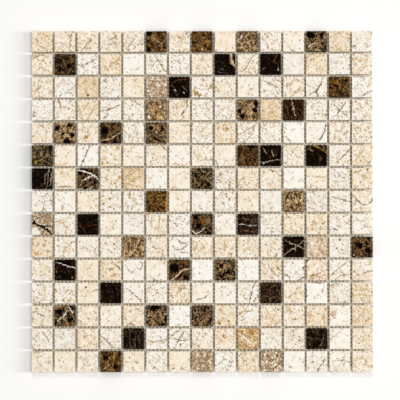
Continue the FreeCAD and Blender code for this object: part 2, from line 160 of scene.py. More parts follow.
# One line a chip: tone, figure, then its marks, as Mark.from_words reads them. A line that ends in
# a semicolon goes on in the next.
SHEET_NOTES = """
row 1
beige streaked; tan10 20,25 25,65
cream streaked; rust6 85,0 80,35 70,100
cream blotched; gold6 15,100 60,45; gold16 62,42
cream blotched specked; tan8 30,30 60,45
cream streaked; grey6 20,80 60,30; grey6 45,90 85,50
golden webbed; black34 15,10; black26 12,88; light5 28,22 50,45 68,62; light5 100,30 75,60 48,82;
  taupe30 35,35
cream blotched; dark9 82,12; brown8 50,94; tan5 5,5 30,50
golden mottled webbed; umber40 30,30; umber26 70,25; taupe24 50,86; light10 52,88
warm plain
taupe webbed; olive7 60,20 75,45; white7 20,15 15,45; olive8 25,30 45,20; dark6 70,10 95,5
ivory streaked; brown6 15,18 35,12; brown6 30,30 45,24
cream plain; brown6 35,85 50,98
mottle webbed mottled; black50 22,20; black24 75,20; taupe34 60,60; light8 5,58 28,68 22,92;
  light7 35,96 60,80; white6 10,75 45,60
beige blotched
ivory specked; brown10 15,75; tan6 78,0 100,16
row 2
warm streaked; brown5 0,35 30,10 60,8 90,20
umber mottled; black26 30,30; black26 70,60; black20 25,75
white; dark5 0,50 15,60 40,45 65,33 80,40 95,25
beige streaked; gold6 85,0 75,35 60,45 45,75; gold5 60,45 95,50
white plain
ivory streaked; brown6 35,0 100,90; brown4 10,30 35,40 30,70
white specked; tan7 20,30 60,45; brown7 75,70; brown6 82,45
warm specked
black plain; light24 75,0 95,65; gold8 70,15 80,50; grey3 10,85 60,92; grey3 15,70 50,78
cream streaked; brown6 5,85 45,60 60,30 95,5
black plain; gold4 75,10 60,45; white7 85,75; grey4 5,80 30,60
mist plain
beige streaked; brown5 0,20 30,0
white specked; tan9 10,85
cream streaked blotched; tan6 0,20 50,35; tan6 30,70 80,60
row 3
cream streaked; gold6 0,75 30,60 65,45; gold12 75,25
white specked; brown10 27,85
tan streaked; rust13 50,90
ivory specked; dark7 25,12; dark7 28,28; dark6 60,60
warm plain
sand mottled; white8 70,35 30,90; white10 15,15 60,10
black plain; rust5 10,32 55,15 100,12; grey4 10,35 45,95; grey4 60,40 90,70; white6 30,62;
  white7 72,75
ivory blotched; gold24 22,80; gold18 38,88; tan20 12,70; gold4 100,30 60,100; tan6 10,55 60,60
cream specked; dark7 70,45; dark6 82,62; dark6 66,72; brown5 55,30
cream plain
ivory streaked; brown6 5,20 30,25 60,45 90,50; brown5 70,60 90,85; brown5 65,5 100,25
cream streaked; tan7 10,60 60,10; tan7 40,95 90,45
ivory; brown8 80,5 70,40 45,70 10,90; brown6 45,70 60,95
golden webbed; black20 80,20; gold4 20,30 70,45; gold4 60,70 90,40
white; brown6 40,95 100,70; tan5 70,50 95,40
row 4
white specked; dark6 10,50 10,85; dark5 60,40
ivory blotched; gold9 20,0 30,50; gold12 70,45; tan12 50,70; gold10 90,85
warm streaked; tan7 10,70 60,10; tan7 45,95 90,40
white; brown6 0,55 45,45 95,25; gold12 45,46; brown5 10,95 40,75
ivory; brown5 40,0 100,40
taupe webbed blotched; white16 70,35; white18 15,85; light14 20,30 30,60; gold10 40,5 42,95;
  gold8 62,30 60,95
warm streaked; brown6 85,0 90,35; brown6 90,35 55,80; tan6 20,30 45,20
ivory blotched; tan9 60,10 85,60; tan12 65,70; tan8 25,40
ivory streaked; tan5 10,80 70,20
taupe mottled; black34 88,20; black30 84,52; black34 24,78; black26 10,56; umber12 0,20 60,90;
  umber40 50,8
tan streaked; tan6 20,85 80,20
black patched; light7 40,0 50,50 60,95; rust5 15,20 30,90
ivory specked; gold14 95,75; brown5 60,30
ivory specked; brown5 10,10 55,55 100,90; brown5 85,10 50,55 20,90; dark7 78,20; dark6 50,55
ivory streaked; tan9 60,80; tan9 85,80; tan5 5,40 60,60
row 5
cream specked blotched; dark6 30,40; dark6 70,55; brown6 55,20
taupe patched mottled; black34 12,28; black30 85,60; black30 72,14; black50 60,96; black26 40,50;
  light8 15,55 55,42
cream blotched; gold18 40,70; gold12 50,45; gold8 30,20
umber patched webbed; black50 20,40; rust26 75,30; light9 0,80 40,80 70,65 100,50; black26 15,96;
  black26 70,92
ivory streaked; tan8 60,15 50,60; tan7 30,50 25,90
mottle patched webbed; black30 25,25; black26 80,30; black22 45,80; light12 50,45; light8 20,60
warm blotched plain
ivory blotched; tan12 55,30; tan12 50,65; tan6 20,85
beige blotched; gold20 60,30; tan8 30,70
ivory streaked; brown4 0,60 40,40 90,10; brown4 30,100 80,50
ivory specked streaked; tan7 30,40; tan7 65,65
white plain; brown6 0,70 20,78 35,100
ivory plain; dark7 95,5 85,50 55,95
cream specked; tan6 30,60; tan6 70,30
cream specked streaked; tan6 40,20; tan6 60,75
row 6
olive mottled webbed; grey20 45,45; gold18 20,80; black22 88,12; light4 70,50 95,45
warm plain; tan8 35,95 50,87 70,85
white plain; brown8 65,0 45,35 35,60 10,100; dark7 27,15
warm blotched; tan20 85,12; honey8 12,65
cream plain; dark8 25,33; brown5 70,70
cream specked; brown5 70,0 100,25; brown6 30,60; brown6 60,80
ivory plain; honey7 10,93 40,90 60,95 90,85; brown6 10,30
cream specked; brown5 90,60 100,80; tan6 30,30; tan6 60,70
cream plain; brown5 0,80 12,88 15,100
golden; black40 60,5; umber30 80,30; olive26 25,65; umber26 60,85
black plain; light5 0,80 30,80 60,75 100,70; white10 15,85; light4 10,10 35,50; light4 50,20 65,60;
  umber14 75,45
cream specked; olive9 45,35; dark8 10,83
black plain; gold12 35,0 65,15 100,40; gold6 75,0 100,30; light4 5,15 35,30; light4 20,0 25,30;
  umber22 70,65
ivory; gold9 100,20 70,50 40,80; gold14 40,82; grey10 40,35
warm streaked; tan7 10,80 60,20; brown6 95,60 75,100
row 7
black plain; light6 85,0 70,100; light5 100,10 88,90; light4 68,20 62,80; umber20 80,50
beige plain; brown7 5,90 40,87 70,87 95,95; tan16 35,20
umber patched webbed; white13 0,10 30,15 70,30 100,58; white12 70,35 20,60;
  white10 0,95 60,98 75,85; black30 15,25; olive34 50,80; black22 85,70
cream blotched; honey18 92,45; tan12 30,55; tan8 60,80
tan streaked; tan7 30,65 95,30; brown6 45,8; gold6 10,40 70,10
ivory plain; tan9 15,60 15,75; tan8 60,12 90,20
cream plain; honey10 20,93
olive mottled webbed; black26 80,80; black24 60,4; black22 20,40; light12 90,50
mist specked; gold10 75,60 70,100; honey9 85,98; grey10 30,30; grey10 55,70
warm blotched; tan8 30,50; tan8 70,30
cream specked; tan18 18,18; brown5 40,5 70,20 100,40; dark6 55,60
white plain; tan10 5,60
warm plain; dark7 20,93; dark7 50,95; tan8 0,40 100,45
mist specked; grey7 30,40; grey7 70,60
warm blotched; tan26 55,40; dark8 40,68; dark9 75,5
row 8
white; grey7 80,5 65,25 60,65 10,97; brown5 60,50 100,45; grey5 30,40 60,60
ivory plain; tan12 15,15; tan6 15,35 30,55
warm plain; gold12 15,5; dark7 70,20
ivory blotched; gold14 45,35; gold12 15,60; gold12 45,75; gold12 65,85
ivory blotched; tan16 30,30; tan16 65,60; tan14 40,85; tan10 80,20
golden patched mottled; umber22 30,30; umber22 60,70; honey16 98,20 96,95
cream plain; dark8 90,52
rosy plain; dark6 75,63; dark6 15,15; brown5 35,80 50,90
ivory specked; gold12 85,10; gold12 70,40; gold10 40,60; gold10 55,15; dark7 35,25
warm plain
mist plain; grey8 40,60
taupe mottled webbed; white8 30,25; white8 65,55; dark12 20,75; dark12 45,80; dark12 80,35
mist specked; tan10 80,67; grey5 5,75 50,90
ivory; brown6 5,25 50,40 75,45 100,50; tan5 50,42 60,80
cream; brown6 0,20 20,40 55,65 80,65; dark9 80,65 100,40; tan12 20,85; tan12 40,85;
  brown5 20,40 10,70
row 9
sand webbed; taupe60 75,22; white70 15,92; black26 0,45 35,55 65,70 95,100;
  black12 10,5 30,15 55,10; black20 12,42; black12 30,85 50,62 100,66
ivory blotched; tan10 30,40; tan12 60,65; tan8 80,20
black plain; rust3 0,30 30,75 45,100; rust3 20,60 100,50; rust3 50,45 100,25
cream plain; brown9 75,35; brown8 65,50
mist plain; dark8 88,43
cream streaked; tan8 30,10 25,80; tan8 65,20 60,90
white specked; brown5 20,40 40,55 55,30; dark6 75,25; dark6 65,75
umber patched webbed; black34 20,18; black30 32,58; black26 80,92; rust30 55,40;
  white12 0,65 20,95 35,90 65,65; taupe34 78,35
ivory plain; tan5 10,85 80,20
black webbed; white4 0,55 30,52 60,57 95,50; grey4 20,20 60,30; grey4 30,85 75,80; grey3 60,35 90,20
ivory specked; tan8 12,38; tan12 15,50; tan6 60,70
warm blotched; tan7 75,65 95,50; tan8 30,30
warm blotched; tan20 35,40; tan20 70,70
ivory specked; brown7 10,70 40,80; brown8 40,60
ivory specked; tan9 30,30; brown7 60,60; tan9 75,25
row 10
beige blotched; dark7 8,28; dark7 10,97; honey18 20,80; tan20 60,40
ivory blotched; tan10 50,60 90,20; grey12 18,15; tan14 50,55; gold12 45,98
rosy plain; grey5 5,50 40,55 60,65 90,65
ivory blotched; gold12 25,30; gold12 65,35; tan10 55,75
taupe mottled webbed; umber22 25,35; umber20 70,60; umber18 45,90; light14 75,20
cream specked; dark6 30,50; dark6 12,8; dark6 22,8; dark6 45,55; dark7 80,78
ivory plain; brown6 10,35 40,62 55,70 100,75; brown6 35,5 55,25 95,30; brown5 95,30 70,55 45,65;
  tan10 15,10
warm streaked; tan7 30,80 70,30
warm streaked; tan8 50,5 45,90; brown5 90,70 75,100
cream streaked; tan7 20,85 80,25; gold10 10,30
cream specked; brown6 30,40; brown6 65,30; brown6 50,70
black plain; light6 5,10 30,30 55,40 100,65; light5 75,45 85,30 100,20;
  light6 0,95 25,70 45,60 65,60; light5 55,40 60,75
fawn mottled blotched specked; taupe16 74,13; taupe16 76,74; white16 28,30; white14 45,70;
  white10 58,35; taupe8 15,70 35,95
ivory specked; dark9 35,55; brown8 65,35; dark8 60,65; brown8 50,15
umber patched webbed; black40 35,40; black36 75,65; gold5 10,75 60,55; gold5 40,20 70,45;
  light10 95,15; light10 8,90
row 11
cream specked; dark7 10,95; tan14 85,55; brown5 40,35
black plain; white7 5,15 30,20 60,30 100,35; gold5 75,40 85,20; gold8 10,60; gold9 85,85
warm plain
beige blotched; gold10 55,42; gold10 55,80; brown5 50,5 100,45
ivory plain; dark6 5,25 20,40 40,60 65,35; dark6 60,38 80,45 95,10
cream plain; brown5 20,75 40,95 55,100
umber patched webbed; light14 0,100 40,75 70,50 100,50; rust24 80,15; black60 25,40; black30 80,85
white plain; dark8 37,67
mottle webbed mottled; black26 30,30; black26 65,60; black22 30,80; light5 10,50 60,40
white plain
warm streaked; brown5 30,10 60,60 95,85; brown5 70,30 100,60
white; brown6 5,65 35,90; dark12 95,40; brown6 70,100 100,85
warm streaked; gold7 0,70 30,75 70,60 100,50; rust16 3,3
ivory; gold7 0,85 30,55 60,30 100,10; gold6 50,45 75,85; gold6 30,100 55,80 100,75
cream; gold7 5,50 20,70; gold12 30,75; brown6 50,65 100,55
row 12
ivory blotched; gold9 10,45; gold7 20,15 35,10 50,18; gold9 10,80; tan10 60,60
ivory blotched; tan8 50,50 65,20; tan8 75,50 95,35; gold10 60,98
warm plain; dark12 40,25; grey8 50,42; brown6 70,40 100,38
black patched plain
rosy plain; brown5 0,30 40,45 70,75 90,100; tan14 85,85
ivory blotched; tan10 25,35; tan8 60,65
warm streaked blotched; tan8 30,60 70,20
cream plain; brown4 10,85 50,75 90,50
ivory plain; dark7 50,20; dark7 75,50
ivory specked; dark6 85,0 70,40 60,80 55,100; brown7 70,95 100,60; brown6 30,60
black webbed mottled; taupe5 10,30 50,40; olive6 40,80 80,60; taupe4 60,10 85,35 95,80;
  olive5 5,60 35,70 45,98
warm blotched; tan9 40,60
white plain; brown8 0,30 0,70; brown6 30,0 70,2
mist streaked; brown5 30,0 50,25; grey9 60,15; grey7 40,80
beige streaked; tan9 0,30 50,38 100,30; tan9 0,65 50,60 100,68
row 13
cream streaked; brown4 10,30 80,60
mottle patched webbed; black40 25,30; black36 75,70; white9 10,75 45,50 60,20; white8 70,10 90,40;
  rust16 50,90
warm specked
cream plain; dark6 70,40; dark6 30,65
warm blotched; tan16 35,30; white12 65,65; rust5 10,80 60,95
mottle patched webbed; black50 40,10; umber24 60,55; light12 12,50; black22 80,90
white plain; dark9 18,17; dark8 85,50
mottle streaked; taupe8 5,60 60,5; taupe8 30,95 95,35; umber20 60,95; taupe7 10,95 90,15
beige blotched; gold24 20,85; gold12 65,75; tan8 40,30
ivory; honey9 0,50 20,35 40,15 50,0; gold6 20,35 60,25 75,20; gold5 5,80 40,60
warm streaked; brown5 60,10 95,25; dark7 10,50
cream blotched; tan9 30,40; tan9 70,65
beige blotched; tan26 15,45; tan22 80,60; white14 50,20
ivory plain; tan30 20,40; gold6 0,40 30,65
beige streaked; tan9 10,80 70,10; tan8 50,95 95,50
row 14
ivory specked; gold7 50,10 70,40 85,70; tan9 25,62; brown5 75,5 95,25
mist specked; grey8 30,40; grey8 65,65; grey8 50,85
warm blotched; tan18 35,40; tan16 65,70
ivory; brown6 0,40 20,50 65,90 100,90; brown5 50,100 60,85; tan8 70,20
black plain webbed; grey3 30,0 35,100; grey3 60,10 55,100; gold6 90,10; grey3 75,30 80,90
white; gold8 5,50 35,65 60,60 100,70; tan5 20,20 50,25
ivory; brown6 50,0 20,30 0,40; brown6 75,10 50,50 25,100; brown6 5,45 40,55 100,55; dark10 55,75
cream streaked; tan9 35,20; grey6 15,80 40,90
warm blotched; brown6 35,20 50,50; tan8 70,60
buff; gold30 66,20; tan26 28,76; taupe18 82,60; white14 5,22 45,55 85,88; white10 30,40 15,60
ivory specked; tan8 30,30; olive7 55,55; olive7 70,25
cream specked; brown8 75,45; brown8 50,35; brown8 45,15; brown5 60,50 100,70
black plain webbed; taupe4 25,0 40,30; olive7 0,40 40,50 65,45; taupe5 85,10 80,50 55,100;
  olive5 5,85 30,60
ivory plain; tan6 0,60 60,10
warm specked; tan6 30,50
row 15
cream; gold7 10,10 30,4 55,5; rust5 30,15
warm plain; dark7 40,50; dark6 35,30
cream; brown5 25,60 35,68 30,78; brown5 60,80 72,88 65,96
golden patched webbed; black34 25,30; black30 75,75; light6 10,90 50,60; gold20 65,30
warm plain; brown8 30,30; brown8 65,55; brown7 45,80
ivory specked; dark7 15,50; dark7 60,25; dark7 80,10; tan14 85,55; dark6 40,75
warm plain; brown5 10,95 25,75
sand streaked; umber9 85,0 60,40 40,70 15,95; grey10 30,20 60,10
white; grey7 0,50 30,50 45,40 65,55; grey6 75,5 90,15; dark5 65,55 90,50
beige blotched; tan12 15,15; tan14 75,45
sand mottled; umber10 50,100 70,75 100,50; rust20 30,20; grey22 25,70; rust14 80,20; white10 55,60
ivory plain; brown10 30,75
ivory; gold14 30,50; dark6 10,80; dark6 35,80; brown7 90,30 75,60 50,100
ivory; brown5 10,50 50,45 85,50 100,60
cream blotched; tan7 30,15 20,40 20,60; tan7 20,40 70,35; tan6 45,70 80,60
"""

def linear(colour: Colour) -> tuple[float, float, float, float]:
    """Turns a screen colour into the linear colour that a socket or an attribute takes.

    Args:
        colour: red, green and blue from 0 to 255.

    Returns:
        Linear red, green and blue, and an alpha of 1.
    """
    parts = [c / 255 for c in colour]
    line = [c / 12.92 if c <= 0.04045 else ((c + 0.055) / 1.055) ** 2.4 for c in parts]
    return (line[0], line[1], line[2], 1.0)


def deselect_all() -> None:
    """Leaves edit mode and deselects every object."""
    if bpy.context.object and bpy.context.object.mode != "OBJECT":
        bpy.ops.object.mode_set(mode="OBJECT")
    bpy.ops.object.select_all(action="DESELECT")


def make_active(piece: bpy.types.Object) -> None:
    """Selects one object alone and makes it the active one."""
    deselect_all()
    piece.select_set(True)
    bpy.context.view_layer.objects.active = piece


def edit_all(piece: bpy.types.Object) -> None:
    """Opens an object in edit mode with everything on it selected."""
    make_active(piece)
    bpy.ops.object.mode_set(mode="EDIT")
    bpy.ops.mesh.select_all(action="SELECT")


def apply_modifiers(piece: bpy.types.Object) -> None:
    """Applies an object's modifiers from first to last."""
    make_active(piece)
    for name in [modifier.name for modifier in piece.modifiers]:
        bpy.ops.object.modifier_apply(modifier=name)


def read_points(mesh: bpy.types.Mesh) -> np.ndarray:
    """Returns a mesh's vertices as rows of x, y and z."""
    points = np.empty(len(mesh.vertices) * 3, np.float32)
    mesh.vertices.foreach_get("co", points)
    return points.reshape(-1, 3).astype(float)


def write_points(mesh: bpy.types.Mesh, points: np.ndarray) -> None:
    """Puts rows of x, y and z back into a mesh's vertices."""
    mesh.vertices.foreach_set("co", points.astype(np.float32).ravel())
    mesh.update()


def write_attribute(mesh: bpy.types.Mesh, name: str, kind: str, values: np.ndarray) -> None:
    """Stores one value for each vertex as a named attribute.

    Args:
        mesh: the mesh that gets it.
        name: name that the material reads.
        kind: FLOAT, FLOAT_VECTOR or FLOAT_COLOR.
        values: one row for each vertex, or one row for all of them.
    """
    layer = mesh.attributes.new(name, kind, "POINT")
    words = {"FLOAT": ("value", 1), "FLOAT_VECTOR": ("vector", 3), "FLOAT_COLOR": ("color", 4)}
    word, width = words[kind]
    rows = np.broadcast_to(values, (len(mesh.vertices), width))
    layer.data.foreach_set(word, rows.astype(np.float32).ravel())


def report(piece: bpy.types.Object) -> None:
    """Logs a piece's name and its number of triangles."""
    triangles = sum(len(face.vertices) - 2 for face in piece.data.polygons)
    LOG.info("%s: %d triangles", piece.name, triangles)


def stand_for(piece: bpy.types.Object, node: str) -> None:
    """Parents a finished piece to the root body, hides the CAD node that it replaces, and logs it."""
    report(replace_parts(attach(piece, "root"), node))


@dataclass(frozen=True)
class Mark:
    """A vein along two to four points, or a spot at one, in millimetres from the chip's middle."""

    shade: Shade
    points: tuple[Point, ...]
    width: float

    @classmethod
    def from_words(cls, words: str, side: float, stone: Stone) -> "Mark":
        """Reads a mark such as "gold6 85,0 80,35": shade, width in tenths, then points in percent.

        Args:
            words: the mark as the sheet's notes give it, with y counted down from the back edge.
            side: side of the chip in millimetres.
            stone: the chip's stone, which says how much wider than noted a mark is drawn.

        Returns:
            The mark.
        """
        name, *places = words.split()
        word = name.rstrip(DIGITS)
        width = float(name[len(word):]) * TENTH
        width *= stone.vein_gain if len(places) > 1 else stone.spot_gain
        points = [tuple(float(n) for n in place.split(",")) for place in places]
        return cls(Shade[word.upper()], tuple(on_chip(p, side) for p in overrun(points, side)), width)

    def fields(self, places: np.ndarray, lean: float) -> tuple[np.ndarray, np.ndarray]:
        """Works out what the material needs to draw this mark.

        Args:
            places: vertices as rows of x, y and depth below the face, in millimetres.
            lean: how far the vein moves sideways for each millimetre of depth.

        Returns:
            Rows of way along, offset and shade; and the bow, the sway and half the width.
        """
        start, along, across, length = self.axis()
        way = (places[:, :2] - start) @ along / length
        offset = (places[:, :2] - start) @ across + lean * places[:, 2]
        bow, sway = self.bend(start, along, across, length)
        place = np.column_stack([way, offset, np.full(len(way), self.shade.place)])
        return place, np.array([bow, sway, self.width / 2])

    def axis(self) -> tuple[np.ndarray, np.ndarray, np.ndarray, float]:
        """Returns the mark's start, its unit directions along and across, and its length."""
        if len(self.points) == 1:
            radius = self.width / 2
            middle = np.array(self.points[0])
            return middle - (radius, 0), np.array([1.0, 0.0]), np.array([0.0, 1.0]), 2 * radius
        start, end = np.array(self.points[0]), np.array(self.points[-1])
        length = float(np.linalg.norm(end - start))
        along = (end - start) / length
        return start, along, np.array([-along[1], along[0]]), length

    def bend(self, start: np.ndarray, along: np.ndarray, across: np.ndarray, length: float) -> Point:
        """Fits the vein's bow and sway through its inner points, and returns them."""
        inner = np.array(self.points[1:-1]).reshape(-1, 2) - start
        if not len(inner):
            return 0.0, 0.0
        way = np.clip(inner @ along / length, FIRST_INNER, LAST_INNER)
        arch = way * (1 - way)
        terms = np.column_stack([arch, arch * (2 * way - 1)])
        bow, sway = np.linalg.lstsq(terms, inner @ across, rcond=None)[0]
        return float(bow), float(sway)


def on_chip(point: Point, side: float) -> Point:
    """Turns percent of the chip, with y counted down, into millimetres from its middle."""
    return (point[0] / 100 - 0.5) * side, (0.5 - point[1] / 100) * side


def overrun(points: list[Point], side: float) -> list[Point]:
    """Carries a vein that meets the chip's edge on past it, so that it doesn't thin out there.

    Args:
        points: the vein's points in percent of the chip.
        side: side of the chip in millimetres.

    Returns:
        The points, with the first and last moved outwards where they lie on an edge.
    """
    if len(points) < 2:
        return points
    carried = list(points)
    for end, inner in ((0, 1), (-1, -2)):
        x, y = points[end]
        if min(x, y, 100 - x, 100 - y) > EDGE_PERCENT:
            continue
        step = np.array(points[end]) - np.array(points[inner])
        step *= VEIN_OVERRUN / side * 100 / np.linalg.norm(step)
        carried[end] = (x + float(step[0]), y + float(step[1]))
    return carried


@dataclass(frozen=True)
class ChipNote:
    """What one chip looks like: its tone, how busy its figure is, and its marks."""

    tone: Tone
    figure: Triple
    marks: tuple[Mark, ...]

    @classmethod
    def from_words(cls, words: str, side: float) -> "ChipNote":
        """Reads one chip's note.

        Args:
            words: tone and figure words, then marks, set off by semicolons.
            side: side of the chip in millimetres.

        Returns:
            The note.
        """
        look, *marks = words.split(";")
        tone, *figures = look.split()
        weights = np.array(USUAL_FIGURE)
        for name in figures:
            weights += Figure[name.upper()].value
        figure = tuple(float(w) for w in np.clip(weights, 0, 1))
        kind = Tone[tone.upper()]
        return cls(kind, figure, tuple(Mark.from_words(m, side, kind.stone) for m in marks))


def read_notes(side: float) -> dict[tuple[int, int], ChipNote]:
    """Reads the sheet's notes into one note for each course and column, both from 1."""
    notes = {}
    course, column = 0, 0
    for line in SHEET_NOTES.strip().replace(";\n", ";").splitlines():
        if line.startswith("row "):
            course, column = int(line[4:]), 0
            continue
        column += 1
        notes[course, column] = ChipNote.from_words(line, side)
    return notes


class Graph:
    """Lays out the nodes of a material, a world or a node group."""

    def __init__(self, tree: bpy.types.NodeTree) -> None:
        """Keeps the tree that the nodes go into."""
        self.tree = tree

    def node(self, kind: str, **settings: object) -> bpy.types.Node:
        """Adds a node of a kind and sets its properties."""
        made = self.tree.nodes.new(kind)
        for name, value in settings.items():
            setattr(made, name, value)
        return made

    def feed(self, socket: Socket, value: Value) -> None:
        """Links a value that comes from another node, or sets a constant on the socket."""
        if isinstance(value, Socket):
            self.tree.links.new(value, socket)
        else:
            socket.default_value = value

    def attribute(self, name: str, output: str = "Vector") -> Socket:
        """Reads a mesh attribute."""
        return self.node("ShaderNodeAttribute", attribute_name=name).outputs[output]

    def place_in_mm(self) -> Socket:
        """Reads the place on the object in millimetres."""
        return self.scaled(self.node("ShaderNodeTexCoord").outputs["Object"], (1 / MM, 1 / MM, 1 / MM))

    def split(self, vector: Socket) -> tuple[Socket, ...]:
        """Splits a vector into its three parts."""
        made = self.node("ShaderNodeSeparateXYZ")
        self.feed(made.inputs[0], vector)
        return tuple(made.outputs)

    def math(self, word: str, *values: Value, clamp: bool = False) -> Socket:
        """Does one sum on numbers or sockets."""
        made = self.node("ShaderNodeMath", operation=word, use_clamp=clamp)
        for socket, value in zip(made.inputs, values):
            self.feed(socket, value)
        return made.outputs[0]

    def times(self, first: Value, *others: Value) -> Value:
        """Multiplies the values one after another."""
        for other in others:
            first = self.math("MULTIPLY", first, other)
        return first

    def plus(self, value: Value, more: Value) -> Socket:
        """Adds two values."""
        return self.math("ADD", value, more)

    def minus(self, value: Value, less: Value) -> Socket:
        """Takes the second value from the first."""
        return self.math("SUBTRACT", value, less)

    def fit(self, value: Value, gain: Value, base: Value) -> Socket:
        """Multiplies a value by a gain and adds a base."""
        return self.math("MULTIPLY_ADD", value, gain, base)

    def scaled(self, vector: Socket, by: Triple) -> Socket:
        """Multiplies a vector by another, part by part."""
        made = self.node("ShaderNodeVectorMath", operation="MULTIPLY")
        self.feed(made.inputs[0], vector)
        made.inputs[1].default_value = by
        return made.outputs[0]

    def band(self, value: Value, low: float, high: float) -> Socket:
        """Turns a value smoothly into a mask: 0 at low and 1 at high, which may be the lesser."""
        made = self.node("ShaderNodeMapRange", interpolation_type="SMOOTHSTEP")
        for socket, number in zip(made.inputs, (value, low, high, 0.0, 1.0)):
            self.feed(socket, number)
        return made.outputs[0]

    def cells(self, vector: Socket, scale: float, feature: str = "F1") -> tuple[Socket, Socket | None]:
        """Adds a cell pattern and returns its distance and, where it has one, its random colour."""
        made = self.node("ShaderNodeTexVoronoi", feature=feature)
        self.feed(made.inputs["Vector"], vector)
        made.inputs["Scale"].default_value = scale
        return made.outputs["Distance"], made.outputs.get("Color")

    def mix(self, share: Value, base: Value, over: Value, blend: str = "MIX") -> Socket:
        """Lays one colour over another by a share from 0 to 1."""
        made = self.node("ShaderNodeMix", data_type="RGBA", blend_type=blend)
        for place, value in ((0, share), (6, base), (7, over)):
            self.feed(made.inputs[place], value)
        return made.outputs[2]

    def stir(self, vector: Socket, scale: float, reach: float) -> Socket:
        """Moves a position about by coloured noise, so that a pattern on it isn't straight."""
        swirl = self.node("ShaderNodeTexNoise")
        self.feed(swirl.inputs["Vector"], vector)
        swirl.inputs["Scale"].default_value = scale
        moved = self.node("ShaderNodeVectorMath", operation="MULTIPLY_ADD")
        self.feed(moved.inputs[0], swirl.outputs["Color"])
        moved.inputs[1].default_value = (reach, reach, reach)
        self.feed(moved.inputs[2], vector)
        return moved.outputs[0]

    def group(self, tree: bpy.types.NodeTree, **values: Value) -> bpy.types.NodeOutputs:
        """Places a node group and feeds its inputs."""
        made = self.node("ShaderNodeGroup", node_tree=tree)
        for name, value in values.items():
            self.feed(made.inputs[name], value)
        return made.outputs

    def bump(self, shader: bpy.types.Node, height: Socket, strength: float, depth: float) -> None:
        """Adds a Bump node in front of a shader's Normal."""
        made = self.node("ShaderNodeBump")
        made.inputs["Strength"].default_value = strength
        made.inputs["Distance"].default_value = depth
        self.feed(made.inputs["Height"], height)
        self.feed(shader.inputs["Normal"], made.outputs["Normal"])


@dataclass(frozen=True)
class Clouds:
    """Cloudy noise, about 0.5 on average, and the two levels that turn it into a mask."""

    scale: float
    detail: float = 2.0
    rough: float = 0.5
    warp: float = 0.0
    low: float = 0.0
    high: float = 1.0

    def noise(self, graph: Graph, place: Socket) -> Socket:
        """Adds the noise, at a place counted in millimetres."""
        made = graph.node("ShaderNodeTexNoise")
        graph.feed(made.inputs["Vector"], place)
        made.inputs["Scale"].default_value = self.scale
        made.inputs["Detail"].default_value = self.detail
        made.inputs["Roughness"].default_value = self.rough
        made.inputs["Distortion"].default_value = self.warp
        return made.outputs[0]

    def mask(self, graph: Graph, place: Socket) -> Socket:
        """Adds the noise and turns it into a mask: 0 at the low level and 1 at the high one."""
        return graph.band(self.noise(graph, place), self.low, self.high)


def new_group(
    name: str, inputs: dict[str, str], outputs: dict[str, str]
) -> tuple[Graph, dict[str, Socket], bpy.types.Node]:
    """Makes an empty shader group with named sockets.

    Args:
        name: name of the group.
        inputs: socket kind for each input name, as Float, Vector or Color.
        outputs: socket kind for each output name.

    Returns:
        The graph, the input sockets by name, and the group's output node.
    """
    tree = bpy.data.node_groups.new(name, "ShaderNodeTree")
    for ways, sockets in (("INPUT", inputs), ("OUTPUT", outputs)):
        for socket, kind in sockets.items():
            tree.interface.new_socket(socket, in_out=ways, socket_type=f"NodeSocket{kind}")
    graph = Graph(tree)
    given = graph.node("NodeGroupInput").outputs
    return graph, {name: given[name] for name in inputs}, graph.node("NodeGroupOutput")


class SharedGroup:
    """A node group that materials share: it is drawn once and found by its name from then on."""

    name: str

    def tree(self) -> bpy.types.NodeTree:
        """Returns the group, and draws it the first time."""
        return bpy.data.node_groups.get(self.name) or self.draw()

    def draw(self) -> bpy.types.NodeTree:
        """Draws the group."""
        raise NotImplementedError


@dataclass(frozen=True)
class VeinGroup(SharedGroup):
    """Draws one vein or spot from its two attributes, its edge ragged and its ends tapered."""

    name: str = "marble_vein"
    rag_share: float = 0.45
    rag_base: float = 0.25
    outside: float = 1.4
    inside: float = 0.75
    least_reach: float = 0.0001

    def draw(self) -> bpy.types.NodeTree:
        """Draws the group."""
        graph, given, out = new_group(
            self.name,
            {"Place": "Vector", "Form": "Vector", "Wobble": "Float", "Grain": "Float"},
            {"Mask": "Float", "Color": "Color"},
        )
        way, offset, shade = graph.split(given["Place"])
        bow, sway, half = graph.split(given["Form"])
        arch = graph.times(way, graph.minus(1.0, way))
        line = graph.times(arch, graph.fit(graph.fit(way, 2.0, -1.0), sway, bow))
        away = graph.plus(graph.minus(offset, line), given["Wobble"])
        taper = graph.math("SQRT", graph.math("MAXIMUM", graph.times(arch, 4.0), 0.0))
        ragged = graph.math("MINIMUM", half, graph.fit(half, self.rag_share, self.rag_base))
        swell = graph.times(graph.minus(given["Grain"], 1.0), ragged)
        reach = graph.math("MAXIMUM", graph.times(graph.plus(half, swell), taper), self.least_reach)
        ratio = graph.math("DIVIDE", graph.math("ABSOLUTE", away), reach)
        colour, full = self.shade_ramp(graph, shade)
        fade = graph.minus(1.0, graph.math("MINIMUM", given["Grain"], 1.0))
        clear = graph.minus(1.0, full)
        cover = graph.math("MULTIPLY_ADD", clear, graph.fit(fade, -2.0, -1.0), 1.0, clamp=True)
        graph.feed(out.inputs["Mask"], graph.times(graph.band(ratio, self.outside, self.inside), cover))
        graph.feed(out.inputs["Color"], colour)
        return graph.tree

    def shade_ramp(self, graph: Graph, shade: Socket) -> tuple[Socket, Socket]:
        """Adds a ramp with one step for each shade, and returns its colour and its cover."""
        ramp = graph.node("ShaderNodeValToRGB")
        ramp.color_ramp.interpolation = "CONSTANT"
        steps = ramp.color_ramp.elements
        for number, kind in enumerate(Shade):
            step = steps[number] if number < 2 else steps.new(number / len(Shade))
            step.position = number / len(Shade)
            step.color = (*linear(kind.colour)[:3], kind.cover)
        graph.feed(ramp.inputs[0], shade)
        return ramp.outputs["Color"], ramp.outputs["Alpha"]


